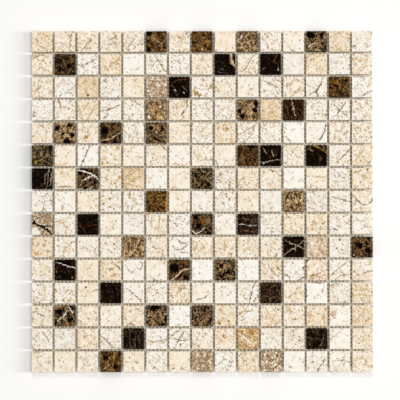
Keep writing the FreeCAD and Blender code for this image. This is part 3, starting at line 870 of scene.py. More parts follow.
@dataclass(frozen=True)
class SpeckGroup(SharedGroup):
    """Scatters small mineral specks of uneven size."""

    name: str = "mineral_specks"
    edge: Clouds = Clouds(2.0, 3.0, 0.7)
    raggedness: float = 0.36
    sizes: tuple[Point, ...] = ((0.42, 0.30), (0.85, 0.32))
    least_share: float = 0.2
    stir_scale: float = 1.6
    stir_reach: float = 0.5
    soft_chance: float = 0.06
    soft_edge: float = 0.04

    def draw(self) -> bpy.types.NodeTree:
        """Draws the group."""
        graph, given, out = new_group(
            self.name, {"Slab": "Vector", "Amount": "Float"}, {"Mask": "Float"}
        )
        ragged = graph.fit(self.edge.noise(graph, given["Slab"]), self.raggedness, -self.raggedness / 2)
        masks = []
        for scale, size in self.sizes:
            far, pick = graph.cells(graph.stir(given["Slab"], self.stir_scale, self.stir_reach), scale)
            chance, growth, _ = graph.split(pick)
            shown = graph.band(graph.minus(given["Amount"], chance), -self.soft_chance, self.soft_chance)
            radius = graph.fit(growth, (1 - self.least_share) * size, self.least_share * size)
            inside = graph.minus(graph.plus(far, ragged), radius)
            masks.append(graph.times(shown, graph.band(inside, self.soft_edge, -self.soft_edge)))
        graph.feed(out.inputs["Mask"], graph.math("MAXIMUM", *masks))
        return graph.tree


@dataclass(frozen=True)
class ReliefGroup(SharedGroup):
    """Raises pits, worn arrises and the saw's lines on the chip's sides."""

    name: str = "marble_relief"
    pit_scale: float = 0.95
    pit_rim: float = 0.16
    pit_floor: float = 0.05
    soft_chance: float = 0.03
    grain: Clouds = Clouds(2.6, 4.0, 0.6)
    grain_height: float = 0.05
    chips: Clouds = Clouds(1.1, 3.0, 0.6, low=0.46, high=0.62)
    even_wear: float = 0.3
    wear_depth: float = 0.5
    saw_radians_per_mm: float = 9.0
    saw_height: float = 0.12
    side_from: float = 0.3
    side_to: float = 0.6

    def draw(self) -> bpy.types.NodeTree:
        """Draws the group."""
        graph, given, out = new_group(
            self.name,
            {"Slab": "Vector", "Arris": "Float", "Depth": "Float", "Pitting": "Float"},
            {"Height": "Float", "Pit": "Float", "Wear": "Float"},
        )
        far, pick = graph.cells(given["Slab"], self.pit_scale)
        spare = graph.minus(given["Pitting"], graph.split(pick)[0])
        hollow = graph.band(far, self.pit_rim, self.pit_floor)
        hollow = graph.times(hollow, graph.band(spare, -self.soft_chance, self.soft_chance))
        chipped = graph.fit(self.chips.mask(graph, given["Slab"]), 1 - self.even_wear, self.even_wear)
        wear = graph.times(given["Arris"], chipped)
        scored = graph.math("SINE", graph.times(given["Depth"], self.saw_radians_per_mm))
        on_side = graph.band(given["Depth"], self.side_from, self.side_to)
        grain = graph.times(self.grain.noise(graph, given["Slab"]), self.grain_height)
        rise = graph.plus(grain, graph.times(scored, on_side, self.saw_height))
        rise = graph.minus(rise, graph.plus(hollow, graph.times(wear, self.wear_depth)))
        for name, value in (("Height", rise), ("Pit", hollow), ("Wear", wear)):
            graph.feed(out.inputs[name], value)
        return graph.tree


def new_material(name: str) -> tuple[bpy.types.Material, Graph, bpy.types.Node]:
    """Makes a material and returns it, its graph and its Principled BSDF."""
    material = bpy.data.materials.new(name)
    material.use_nodes = True
    return material, Graph(material.node_tree), material.node_tree.nodes["Principled BSDF"]


@dataclass(frozen=True)
class Polish:
    """How a marble's face is polished, pitted and worn."""

    rough: float
    gloss: float
    pitting: float
    worn: Colour
    rough_spread: float = 0.12
    mottle: Clouds = Clouds(0.9, 3.0)
    sawn_from: float = 0.35
    sawn_to: float = 0.7
    sawn_rough: float = 0.3
    worn_rough: float = 0.2
    worn_cover: float = 0.35
    # Multiplied into the colour in the pits, which draws them darker.
    pit_darkening: Colour = (170, 148, 122)
    bump_strength: float = 0.35
    bump_depth: float = 0.12 * MM

    def put_on(self, look: "MarbleLook") -> None:
        """Adds pits and worn arrises to a marble, draws its colour darker in the pits, and feeds its shader.
        """
        graph, shader = look.graph, look.shader
        relief = graph.group(
            ReliefGroup().tree(), Slab=look.slab, Arris=look.arris, Depth=look.depth, Pitting=self.pitting
        )
        look.lay(self.worn, relief["Wear"], self.worn_cover)
        # The pits are drawn darker by multiplying their colour.
        pit_darkened = graph.mix(relief["Pit"], look.colour, linear(self.pit_darkening), "MULTIPLY")
        graph.feed(shader.inputs["Base Color"], pit_darkened)
        sawn = graph.band(look.depth, self.sawn_from, self.sawn_to)
        uneven = self.mottle.noise(graph, look.slab)
        rough = graph.fit(uneven, self.rough_spread, self.rough - self.rough_spread / 2)
        rough = graph.plus(rough, graph.times(sawn, self.sawn_rough))
        rough = graph.math("ADD", rough, graph.times(relief["Wear"], self.worn_rough), clamp=True)
        graph.feed(shader.inputs["Roughness"], rough)
        shader.inputs["Specular IOR Level"].default_value = self.gloss
        graph.bump(shader, relief["Height"], self.bump_strength, self.bump_depth)


class MarbleLook:
    """A marble's material while it is laid up: what every chip carries, and the colour so far."""

    wide_wobble: tuple[Clouds, float] = (Clouds(0.42, 3.0, 0.6), 4.0)
    fine_wobble: tuple[Clouds, float] = (Clouds(1.0, 3.0, 0.6), 2.6)
    grain: Clouds = Clouds(0.7, 3.0, 0.65, low=0.36, high=0.64)
    grain_range: Point = (0.4, 1.5)

    def __init__(self, name: str) -> None:
        """Makes the material and reads the attributes that every chip carries."""
        self.material, self.graph, self.shader = new_material(name)
        graph = self.graph
        self.slab = graph.attribute("slab")
        self.figure = graph.split(graph.attribute("figure"))
        self.ground = graph.attribute("ground", "Color")
        self.cloud = graph.attribute("cloud", "Color")
        self.arris, self.depth, self.pools = graph.split(graph.attribute("surface"))
        self.colour = self.ground

    def lay(self, over: Colour | Socket, *shares: Value) -> None:
        """Lays a colour over the stone, by the product of some shares from 0 to 1."""
        cover = over if isinstance(over, Socket) else linear(over)
        self.colour = self.graph.mix(self.graph.times(*shares), self.colour, cover)

    def wobble(self, clouds: Clouds, reach: float) -> Socket:
        """Adds a drift to either side, as wide in all as its reach in millimetres."""
        return self.graph.fit(clouds.noise(self.graph, self.slab), reach, -reach / 2)

    def lay_marks(self) -> None:
        """Lays the chip's own veins and spots over the stone."""
        graph = self.graph
        wobble = graph.plus(self.wobble(*self.wide_wobble), self.wobble(*self.fine_wobble))
        least, most = self.grain_range
        grain = graph.fit(self.grain.mask(graph, self.slab), most - least, least)
        vein = VeinGroup().tree()
        for number in range(1, MARK_SLOTS + 1):
            place = graph.attribute(f"mark_{number}_place")
            form = graph.attribute(f"mark_{number}_form")
            drawn = graph.group(vein, Place=place, Form=form, Wobble=wobble, Grain=grain)
            self.lay(drawn["Color"], drawn["Mask"])


@dataclass(frozen=True)
class CreamMarble:
    """Polished cream marble: soft clouds, tan streaks, golden patches, specks and hair cracks."""

    polish: Polish = Polish(rough=0.30, gloss=0.3, pitting=0.16, worn=(250, 244, 234))
    clouds: Clouds = Clouds(0.13, 3.0, 0.55, 0.4, low=0.38, high=0.66)
    grain_stir: Point = (0.3, 1.6)
    grain_stretch: Triple = (1.0, 0.34, 1.0)
    light: Clouds = Clouds(0.7, 4.0, 0.65, low=0.47, high=0.62)
    light_colour: Colour = (255, 252, 246)
    light_cover: float = 0.6
    streak: Clouds = Clouds(0.8, 3.0, 0.7, 0.3, low=0.54, high=0.62)
    streak_colour: Colour = (186, 152, 98)
    least_streaks: float = 0.05
    patch: Clouds = Clouds(0.34, 4.0, 0.72, 0.6, low=0.55, high=0.62)
    patch_colour: Colour = (192, 152, 88)
    speck_amount: float = 0.42
    speck_colour: Colour = (98, 70, 30)
    speck_cover: float = 0.9
    crack_stir: Point = (0.5, 3.2)
    crack_scale: float = 0.15
    crack_line: Point = (0.07, 0.03)
    crack_gate: Clouds = Clouds(0.3, 2.0, low=0.54, high=0.60)
    crack_colour: Colour = (138, 102, 54)
    crack_cover: float = 0.6

    def build(self) -> bpy.types.Material:
        """Makes the material."""
        look = MarbleLook("cream_marble")
        graph, slab = look.graph, look.slab
        streaks, patches, specks = look.figure
        look.lay(look.cloud, self.clouds.mask(graph, slab))
        grained = graph.scaled(graph.stir(slab, *self.grain_stir), self.grain_stretch)
        look.lay(self.light_colour, self.light.mask(graph, grained), self.light_cover)
        busy = graph.fit(streaks, 1 - self.least_streaks, self.least_streaks)
        look.lay(self.streak_colour, self.streak.mask(graph, grained), busy)
        look.lay(self.patch_colour, self.patch.mask(graph, slab), patches)
        dots = graph.group(SpeckGroup().tree(), Slab=slab, Amount=graph.times(specks, self.speck_amount))
        look.lay(self.speck_colour, dots["Mask"], self.speck_cover)
        self.crack(look)
        look.lay_marks()
        self.polish.put_on(look)
        return look.material

    def crack(self, look: MarbleLook) -> None:
        """Lays fine cracks here and there."""
        graph = look.graph
        stirred = graph.stir(look.slab, *self.crack_stir)
        edge = graph.cells(stirred, self.crack_scale, "DISTANCE_TO_EDGE")[0]
        gate = self.crack_gate.mask(graph, look.slab)
        look.lay(self.crack_colour, graph.band(edge, *self.crack_line), gate, self.crack_cover)


@dataclass(frozen=True)
class BrownMarble:
    """Polished brown marble: broken dark pieces, brown clouds, black pools and a web of light veins."""

    polish: Polish = Polish(rough=0.24, gloss=0.25, pitting=0.08, worn=(120, 96, 72))
    grain_stretch: Triple = (1.0, 0.75, 1.0)
    clast_stir: Point = (0.4, 3.2)
    clast_scale: float = 0.28
    clast_weight: float = 0.14
    clouds: Clouds = Clouds(0.40, 3.0, 0.62, 0.5, low=-0.02, high=0.04)
    cloud_level: float = 0.70
    patch_gain: float = -0.12
    glow: Clouds = Clouds(0.3, 2.0, 0.5, low=0.54, high=0.66)
    glow_colour: Colour = (118, 78, 34)
    glow_cover: float = 0.3
    crumb: Clouds = Clouds(0.50, 3.0, 0.62, 0.3, low=0.57, high=0.61)
    crumb_tint: Triple = (1.35, 1.4, 1.5)
    grit: Clouds = Clouds(0.60, 3.0, 0.62, 0.8, low=0.555, high=0.595)
    grit_tint: Triple = (0.35, 0.32, 0.3)
    grit_cover: float = 0.85
    pool: Clouds = Clouds(0.30, 3.0, 0.6, 0.6, low=0.0, high=0.03)
    pool_level: float = 0.57
    pool_gain: float = -0.05
    pool_colour: Colour = (8, 4, 2)
    folds: tuple[Clouds, ...] = (Clouds(0.20, 1.5, 0.5, 1.0), Clouds(0.32, 1.5, 0.5, 2.0))
    fold_line: Point = (0.014, 0.006)
    fold_gate: Clouds = Clouds(0.40, 2.0, 0.6, 0.9, low=0.44, high=0.54)
    least_webs: float = 0.1
    web_tint: Triple = (2.1, 2.25, 2.4)
    web_colour: Colour = (176, 154, 120)
    web_blend: float = 0.2
    fleck: Clouds = Clouds(0.60, 3.0, 0.6, 0.4, low=0.63, high=0.66)
    fleck_tint: Triple = (2.4, 2.6, 2.9)

    def build(self) -> bpy.types.Material:
        """Makes the material."""
        look = MarbleLook("brown_marble")
        graph, slab = look.graph, look.slab
        webs, patches, mottles = look.figure
        grained = graph.scaled(slab, self.grain_stretch)
        self.break_up(look, grained, patches)
        look.lay(self.glow_colour, self.glow.mask(graph, slab), self.glow_cover, patches)
        look.lay(graph.scaled(look.cloud, self.crumb_tint), self.crumb.mask(graph, grained), mottles)
        look.lay(graph.scaled(look.ground, self.grit_tint), self.grit.mask(graph, grained), self.grit_cover)
        rim = graph.fit(patches, self.pool_gain, self.pool_level)
        over_rim = graph.minus(self.pool.noise(graph, slab), rim)
        look.lay(self.pool_colour, graph.band(over_rim, self.pool.low, self.pool.high), look.pools)
        self.web(look, grained, webs)
        look.lay(graph.scaled(look.cloud, self.fleck_tint), self.fleck.mask(graph, slab), mottles)
        look.lay_marks()
        self.polish.put_on(look)
        return look.material

    def break_up(self, look: MarbleLook, grained: Socket, patches: Socket) -> None:
        """Breaks the dark ground with clouds, more of them in some pieces of the stone than in others."""
        graph = look.graph
        pieces = graph.cells(graph.stir(grained, *self.clast_stir), self.clast_scale)[1]
        clast = graph.split(pieces)[0]
        tone = graph.fit(clast, self.clast_weight, self.clouds.noise(graph, grained))
        level = graph.fit(patches, self.patch_gain, self.cloud_level)
        look.lay(look.cloud, graph.band(graph.minus(tone, level), self.clouds.low, self.clouds.high))

    def web(self, look: MarbleLook, grained: Socket, webs: Socket) -> None:
        """Lays a web of light lines, each where a cloudy noise passes through its average."""
        graph = look.graph
        near = [graph.math("ABSOLUTE", graph.minus(fold.noise(graph, grained), 0.5)) for fold in self.folds]
        lines = graph.band(graph.math("MINIMUM", *near), *self.fold_line)
        busy = graph.fit(webs, 1 - self.least_webs, self.least_webs)
        tinted = graph.scaled(look.cloud, self.web_tint)
        pale = graph.mix(self.web_blend, tinted, linear(self.web_colour))
        look.lay(pale, lines, self.fold_gate.mask(graph, look.slab), busy)


@dataclass(frozen=True)
class GlassYarn:
    """Coated glass-fibre yarn: off-white, with fine filaments and a soft coating."""

    light: Colour = (254, 252, 247)
    shade: Colour = (240, 234, 220)
    filament_stretch: Triple = (1.0, 1.0, 6.0)
    filaments: Clouds = Clouds(9.0, 2.0, 0.6, low=0.35, high=0.65)
    dust: Clouds = Clouds(0.12, 3.0, low=0.4, high=0.7)
    filament_share: float = 0.6
    rough: float = 0.5
    rough_spread: float = 0.2
    bump_strength: float = 0.4
    bump_depth: float = 0.05 * MM

    def build(self) -> bpy.types.Material:
        """Makes the material."""
        material, graph, shader = new_material("glass_yarn")
        place = graph.place_in_mm()
        lines = self.filaments.noise(graph, graph.scaled(place, self.filament_stretch))
        dusty = graph.times(self.dust.mask(graph, place), 1 - self.filament_share)
        bright = graph.band(lines, self.filaments.low, self.filaments.high)
        share = graph.fit(bright, self.filament_share, dusty)
        graph.feed(shader.inputs["Base Color"], graph.mix(share, linear(self.shade), linear(self.light)))
        graph.feed(shader.inputs["Roughness"], graph.fit(lines, self.rough_spread, self.rough))
        graph.bump(shader, lines, self.bump_strength, self.bump_depth)
        return material


@dataclass(frozen=True)
class BondingResin:
    """Brown bonding resin: deep between the yarns, thin and pale over them, cloudy with dust, and painted
    paler where two joints cross, for the light that reaches down there.
    """

    yarn_origin: Point
    yarn_pitch: float
    deep: Colour = (164, 140, 88)
    thin: Colour = (255, 252, 240)
    # Painted light: the colour the resin is drawn in where two joints cross, where more light reaches down.
    painted_crossing_light: Colour = (206, 196, 176)
    painted_crossing_light_cover: float = 0.9
    dust: Clouds = Clouds(0.35, 4.0, 0.6, low=0.38, high=0.66)
    dust_share: float = 0.15
    yarn_reach: Point = (1.10, 0.80)
    rough: float = 0.35
    rough_spread: float = 0.25
    relief: Clouds = Clouds(1.4, 3.0)
    bump_strength: float = 0.5
    bump_depth: float = 0.1 * MM

    def build(self) -> bpy.types.Material:
        """Makes the material."""
        material, graph, shader = new_material("bonding_resin")
        place = graph.place_in_mm()
        cloudy = self.dust.mask(graph, place)
        stretched = graph.math("MAXIMUM", *[self.near_yarn(graph, place, axis) for axis in (0, 1)])
        share = graph.fit(cloudy, self.dust_share, graph.times(stretched, 1 - self.dust_share))
        colour = graph.mix(share, linear(self.deep), linear(self.thin))
        # Painted pool of light at the joint crossings: the resin is drawn paler there.
        painted_crossing_light = graph.times(graph.attribute("crossing", "Fac"), self.painted_crossing_light_cover)
        graph.feed(shader.inputs["Base Color"], graph.mix(painted_crossing_light, colour, linear(self.painted_crossing_light)))
        graph.feed(shader.inputs["Roughness"], graph.fit(cloudy, self.rough_spread, self.rough))
        graph.bump(shader, self.relief.noise(graph, place), self.bump_strength, self.bump_depth)
        return material

    def near_yarn(self, graph: Graph, place: Socket, axis: int) -> Socket:
        """Masks the film close to the yarns that stand side by side along an axis."""
        pitch = self.yarn_pitch / MM
        along = graph.minus(graph.split(place)[axis], self.yarn_origin[axis] / MM - pitch / 2)
        cell = graph.math("FRACT", graph.math("DIVIDE", along, pitch))
        away = graph.times(graph.math("ABSOLUTE", graph.minus(cell, 0.5)), pitch)
        return graph.band(away, *self.yarn_reach)


@dataclass
class ChipCourses:
    """The marble chips: one model of a chip, copied, figured and joined into courses."""

    side: float
    pitch: float
    base: float
    top: float
    reach: float
    cuts: int = 3
    ease: float = 0.35 * MM
    ease_steps: int = 2
    smooth_degrees: float = 12.0
    jitter: float = 0.07 * MM
    nick: float = 0.40 * MM
    least_nick: float = 0.4
    most_nicks: int = 2
    sideways_wear: float = 0.7
    wear_reach: float = 1.2
    arris_reach: float = 0.8
    shift: float = 0.10 * MM
    turn_degrees: float = 0.30
    slab_turn: float = -0.7
    slab_swing: float = 0.45
    slab_spread: float = 900.0
    vein_lean: float = 0.5
    materials: dict[Stone, bpy.types.Material] = field(default_factory=dict)

    @classmethod
    def from_frame(cls) -> "ChipCourses":
        """Takes the chips' sizes from the CAD nodes of the first two courses."""
        low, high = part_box(Stone.CREAM.node(1))
        side = high[1] - low[1]
        pitch = low[1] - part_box(Stone.CREAM.node(2))[0][1]
        return cls(side=side, pitch=pitch, base=low[2], top=high[2], reach=high[1])

    def model_chip(self) -> bpy.types.Object:
        """Models the chip that every other is copied from, its middle over the origin."""
        deselect_all()
        bpy.ops.mesh.primitive_grid_add(
            x_subdivisions=self.cuts, y_subdivisions=self.cuts, size=self.side, location=(0, 0, self.base)
        )
        chip = bpy.context.object
        bpy.ops.object.transform_apply(location=True)
        edit_all(chip)
        rise = {"value": (0, 0, self.top - self.base)}
        bpy.ops.mesh.extrude_region_move(TRANSFORM_OT_translate=rise)
        bpy.ops.mesh.select_all(action="SELECT")
        bpy.ops.mesh.normals_make_consistent(inside=False)
        self.select_arrises(chip)
        bpy.ops.mesh.bevel(offset=self.ease, segments=self.ease_steps, affect="EDGES")
        bpy.ops.object.mode_set(mode="OBJECT")
        bpy.ops.object.shade_smooth_by_angle(angle=math.radians(self.smooth_degrees))
        return chip

    def select_arrises(self, chip: bpy.types.Object) -> None:
        """Selects the edges round the face and the four upright ones, which the maker eases."""
        bpy.ops.mesh.select_mode(type="EDGE")
        bpy.ops.mesh.select_all(action="DESELECT")
        shape = bmesh.from_edit_mesh(chip.data)
        half, near = self.side / 2, self.ease / 4
        for edge in shape.edges:
            ends = [vert.co for vert in edge.verts]
            high = all(abs(p.z - self.top) < near for p in ends)
            out_x = all(abs(abs(p.x) - half) < near for p in ends)
            out_y = all(abs(abs(p.y) - half) < near for p in ends)
            edge.select_set((high and (out_x or out_y)) or (out_x and out_y))
        bmesh.update_edit_mesh(chip.data)

    def arris_rows(self, points: np.ndarray, reach: float) -> np.ndarray:
        """Marks the vertices round the face that lie within some eases of the sharp edge it had."""
        outside = self.side / 2 - np.abs(points[:, :2]).max(axis=1)
        return (outside < reach * self.ease) & (self.top - points[:, 2] < reach * self.ease)

    def worn_points(self, points: np.ndarray, rng: np.random.Generator) -> np.ndarray:
        """Moves the arris inwards a little, unevenly, and chips it in a place or two."""
        arris = self.arris_rows(points, self.wear_reach)
        bite = np.where(arris, rng.uniform(0, self.jitter, len(points)), 0)
        nicks = rng.integers(0, self.most_nicks + 1)
        for row in rng.choice(np.flatnonzero(arris), nicks, replace=False):
            bite[row] += self.nick * rng.uniform(self.least_nick, 1.0)
        worn = points.copy()
        worn[:, :2] -= np.sign(points[:, :2]) * bite[:, None] * self.sideways_wear
        worn[:, 2] -= bite
        return worn

    def figure_chip(self, mesh: bpy.types.Mesh, note: ChipNote, rng: np.random.Generator) -> None:
        """Stores what the marble's material reads: its place in the slab, its colours and its marks.

        Args:
            mesh: the chip's mesh, its middle still over the origin.
            note: what the chip looks like.
            rng: the chip's own random numbers.
        """
        points = read_points(mesh)
        depth = (self.top - points[:, 2]) / MM
        places = np.column_stack([points[:, :2] / MM, depth])
        turn = rng.uniform(-self.slab_swing, self.slab_swing) + self.slab_turn
        slab = places.copy()
        slab[:, :2] = turned(places[:, :2], turn)
        pools = np.full(len(points), note.tone.pools)
        surface = np.column_stack([self.arris_rows(points, self.arris_reach), depth, pools])
        write_attribute(mesh, "slab", "FLOAT_VECTOR", slab + rng.uniform(0, self.slab_spread, 3))
        write_attribute(mesh, "figure", "FLOAT_VECTOR", np.array(note.figure))
        write_attribute(mesh, "ground", "FLOAT_COLOR", np.array(linear(note.tone.ground)))
        write_attribute(mesh, "cloud", "FLOAT_COLOR", np.array(linear(note.tone.cloud)))
        write_attribute(mesh, "surface", "FLOAT_VECTOR", surface)
        for number in range(1, MARK_SLOTS + 1):
            place, form = np.zeros(3), np.zeros(3)
            if number <= len(note.marks):
                lean = rng.uniform(-self.vein_lean, self.vein_lean)
                place, form = note.marks[number - 1].fields(places, lean)
            write_attribute(mesh, f"mark_{number}_place", "FLOAT_VECTOR", place)
            write_attribute(mesh, f"mark_{number}_form", "FLOAT_VECTOR", form)

    def lay_chip(self, chip: bpy.types.Object, note: ChipNote, course: int, column: int) -> bpy.types.Object:
        """Copies the chip, wears and figures the copy, and lays it in its place on the sheet."""
        rng = np.random.default_rng([SEED, course, column])
        laid = bpy.data.objects.new("chip", chip.data.copy())
        bpy.context.scene.collection.objects.link(laid)
        write_points(laid.data, self.worn_points(read_points(laid.data), rng))
        self.figure_chip(laid.data, note, rng)
        middle = (COURSES + 1) / 2
        turn = math.radians(rng.uniform(-self.turn_degrees, self.turn_degrees))
        points = read_points(laid.data)
        flat = turned(points[:, :2], turn) + rng.uniform(-self.shift, self.shift, 2)
        flat += ((column - middle) * self.pitch, (middle - course) * self.pitch)
        flat -= np.maximum(flat.max(axis=0) - self.reach, 0)
        flat += np.maximum(-self.reach - flat.min(axis=0), 0)
        points[:, :2] = flat
        write_points(laid.data, points)
        return laid

    def lay_course(
        self, chip: bpy.types.Object, notes: dict[tuple[int, int], ChipNote], course: int, stone: Stone
    ) -> None:
        """Lays one stone's chips of a course and joins them into one piece.

        Args:
            chip: the modelled chip.
            notes: the note for each course and column.
            course: the course, counted from the back edge.
            stone: the stone to lay.
        """
        laid = [
            self.lay_chip(chip, note, course, column)
            for (row, column), note in notes.items()
            if row == course and note.tone.stone is stone
        ]
        make_active(laid[0])
        for one in laid:
            one.select_set(True)
        if len(laid) > 1:
            bpy.ops.object.join()
        piece = laid[0]
        piece.name = f"{stone.slot}_row_{course:02d}"
        piece.data.materials.clear()
        piece.data.materials.append(self.materials[stone])
        stand_for(piece, stone.node(course))

    def build(self) -> None:
        """Models, figures and lays every chip of the sheet."""
        self.materials = {Stone.CREAM: CreamMarble().build(), Stone.BROWN: BrownMarble().build()}
        notes = read_notes(self.side / MM)
        chip = self.model_chip()
        for course in range(1, COURSES + 1):
            for stone in Stone:
                self.lay_course(chip, notes, course, stone)
        bpy.data.objects.remove(chip)


def turned(flat: np.ndarray, angle: float) -> np.ndarray:
    """Turns rows of x and y about the origin, anticlockwise by an angle in radians."""
    spin = np.array([[math.cos(angle), -math.sin(angle)], [math.sin(angle), math.cos(angle)]])
    return flat @ spin.T


@dataclass
class YarnNet:
    """The woven net: straight wefts, and warps of two strands that twist about each other."""

    warp_low: Vector
    warp_high: Vector
    weft_low: Vector
    weft_high: Vector
    cell: float = 3.385 * MM
    strand_width: float = 0.85 * MM
    strand_height: float = 0.20 * MM
    warp_width: float = 1.10 * MM
    weft_width: float = 0.70 * MM
    under_lift: float = 0.2
    twist_cells: int = 2
    slices: int = 3
    merge_reach: float = 0.02 * MM
    wander: float = 0.16 * MM
    wander_waves: Triple = (1.0, 2.6, 6.1)
    wander_cells: int = 40
    neighbours: int = 9
    phase_share: float = 0.3
    end_cut: Point = (-0.3 * MM, 0.8 * MM)
    seed: int = 31
    warp_seed: int = 0
    weft_seed: int = 2

    @classmethod
    def from_frame(cls) -> "YarnNet":
        """Takes the net's place from its two CAD nodes."""
        return cls(*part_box("net_warp_yarns"), *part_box("net_weft_yarns"))

    @property
    def origin(self) -> Point:
        """Place of the first warp's middle along x, and of the first weft's along y."""
        return self.warp_low[0] + self.warp_width / 2, self.weft_low[1] + self.weft_width / 2

    def model_strand(self, name: str, along: int, width: float, path: list[Point]) -> bpy.types.Object:
        """Models one repeat of a yarn: a flat four-sided section carried along its path.

        Args:
            name: name of the piece.
            along: axis the yarn runs along, 0 for x and 1 for y.
            width: width of the section.
            path: sideways and upward place of the yarn's middle at each step.

        Returns:
            The repeat, open at both ends, from the origin along its axis.
        """
        deselect_all()
        bpy.ops.mesh.primitive_circle_add(vertices=4, radius=0.5, fill_type="NOTHING")
        strand = bpy.context.object
        strand.name = name
        edit_all(strand)
        step = self.cell / self.slices
        for _ in path[1:]:
            bpy.ops.mesh.extrude_region_move(TRANSFORM_OT_translate={"value": (0, 0, step)})
        bpy.ops.object.mode_set(mode="OBJECT")
        points = read_points(strand.data)
        slot = np.rint(points[:, 2] / step).astype(int)
        side, rise = np.array(path)[slot].T
        across = points[:, 0] * width + side
        upward = points[:, 1] * self.strand_height + rise
        columns = [points[:, 2], across, upward] if along == 0 else [across, points[:, 2], upward]
        write_points(strand.data, np.column_stack(columns))
        return strand

    def repeat(self, strand: bpy.types.Object, along: int, cells: int, rows: int, cells_each: int) -> None:
        """Repeats a yarn along itself, closes its ends, and repeats it across the net.

        Args:
            strand: one repeat of the yarn.
            along: axis that it runs along.
            cells: length of the yarn in cells.
            rows: number of yarns.
            cells_each: length of the repeat in cells.
        """
        run, step = [0.0, 0.0, 0.0], [0.0, 0.0, 0.0]
        run[along] = self.cell * cells_each
        step[1 - along] = self.cell
        self.add_array(strand, cells // cells_each, run, True)
        apply_modifiers(strand)
        edit_all(strand)
        bpy.ops.mesh.fill_holes(sides=4)
        bpy.ops.mesh.normals_make_consistent(inside=False)
        bpy.ops.object.mode_set(mode="OBJECT")
        self.add_array(strand, rows, step, False)
        apply_modifiers(strand)

    def add_array(self, piece: bpy.types.Object, count: int, offset: list[float], merge: bool) -> None:
        """Adds an Array modifier with a constant offset."""
        array = piece.modifiers.new("repeat", "ARRAY")
        array.count = count
        array.use_relative_offset = False
        array.use_constant_offset = True
        array.constant_offset_displace = offset
        array.use_merge_vertices = merge
        array.merge_threshold = self.merge_reach

    def let_lie(self, piece: bpy.types.Object, along: int, seed: int) -> None:
        """Moves a yarn set to its place and lets it wander a little, as a hand-laid net does.

        Args:
            piece: the repeated yarns.
            along: axis that the yarns run along.
            seed: seed for the wander.
        """
        points = read_points(piece.data)
        rng = np.random.default_rng([SEED, self.seed, seed])
        number = np.rint(points[:, 1 - along] / self.cell).astype(int)
        yarns = number.max() + 1
        run = points[:, along] / (self.cell * self.wander_cells)
        blend = np.ones(self.neighbours) / math.sqrt(self.neighbours)
        for wave in self.wander_waves:
            phase = rng.uniform(0, 2 * math.pi, yarns)
            slow = np.convolve(rng.normal(size=yarns + self.neighbours - 1), blend, "valid")
            sway = slow[number] * np.sin(2 * math.pi * run * wave + phase[number] * self.phase_share)
            points[:, 1 - along] += self.wander / wave * sway
        points[:, :2] += self.origin
        points[:, along] += self.end_trim(points, along, rng, number)
        write_points(piece.data, points)

    def end_trim(
        self, points: np.ndarray, along: int, rng: np.random.Generator, number: np.ndarray
    ) -> np.ndarray:
        """Returns how far each yarn's cut ends move, so that no two are cut alike."""
        low, high = points[:, along].min(), points[:, along].max()
        cut = rng.uniform(*self.end_cut, (2, number.max() + 1))
        near = self.cell / self.slices / 2
        first = (points[:, along] < low + near) * cut[0][number]
        last = (points[:, along] > high - near) * cut[1][number]
        return first - last

    def paths(self) -> dict[str, list[Point]]:
        """Works out the path of each strand over one repeat, by the piece's name."""
        low_rise = self.strand_height / 2
        high_rise = self.weft_high[2] - self.strand_height / 2
        middle, lift = (low_rise + high_rise) / 2, (high_rise - low_rise) / 2
        swing = (self.warp_width - self.strand_width) / 2
        over, under = [], []
        for turn in [math.pi * n / self.slices for n in range(self.twist_cells * self.slices + 1)]:
            dip = self.under_lift * (1 - math.cos(2 * turn))
            over.append((swing * math.cos(turn), middle + lift * math.cos(2 * turn)))
            under.append((-swing * math.cos(turn), low_rise + lift * dip))
        straight = [(0.0, middle)] * (self.slices + 1)
        return {"net_warp_over": over, "net_warp_under": under, "net_weft": straight}

    def build(self) -> None:
        """Models both strands of the warps and the wefts, and lays them."""
        material = GlassYarn().build()
        warps = round((self.warp_high[0] - self.warp_low[0] - self.warp_width) / self.cell) + 1
        wefts = round((self.weft_high[1] - self.weft_low[1] - self.weft_width) / self.cell) + 1
        for name, path in self.paths().items():
            if name == "net_weft":
                strand = self.model_strand(name, 0, self.weft_width, path)
                self.repeat(strand, 0, warps - 1, wefts, 1)
                self.let_lie(strand, 0, self.weft_seed)
                self.dress(strand, material, "net_weft_yarns")
            else:
                strand = self.model_strand(name, 1, self.strand_width, path)
                self.repeat(strand, 1, wefts - 1, warps, self.twist_cells)
                self.let_lie(strand, 1, self.warp_seed)
                self.dress(strand, material, "net_warp_yarns")

    def dress(self, piece: bpy.types.Object, material: bpy.types.Material, node: str) -> None:
        """Gives a yarn set its material and its place in the frame."""
        make_active(piece)
        bpy.ops.object.shade_smooth()
        piece.data.materials.append(material)
        stand_for(piece, node)


class Cover(IntEnum):
    """What lies over a line of the resin film."""

    CHIP = 0
    CHIP_EDGE = 1
    JOINT = 2


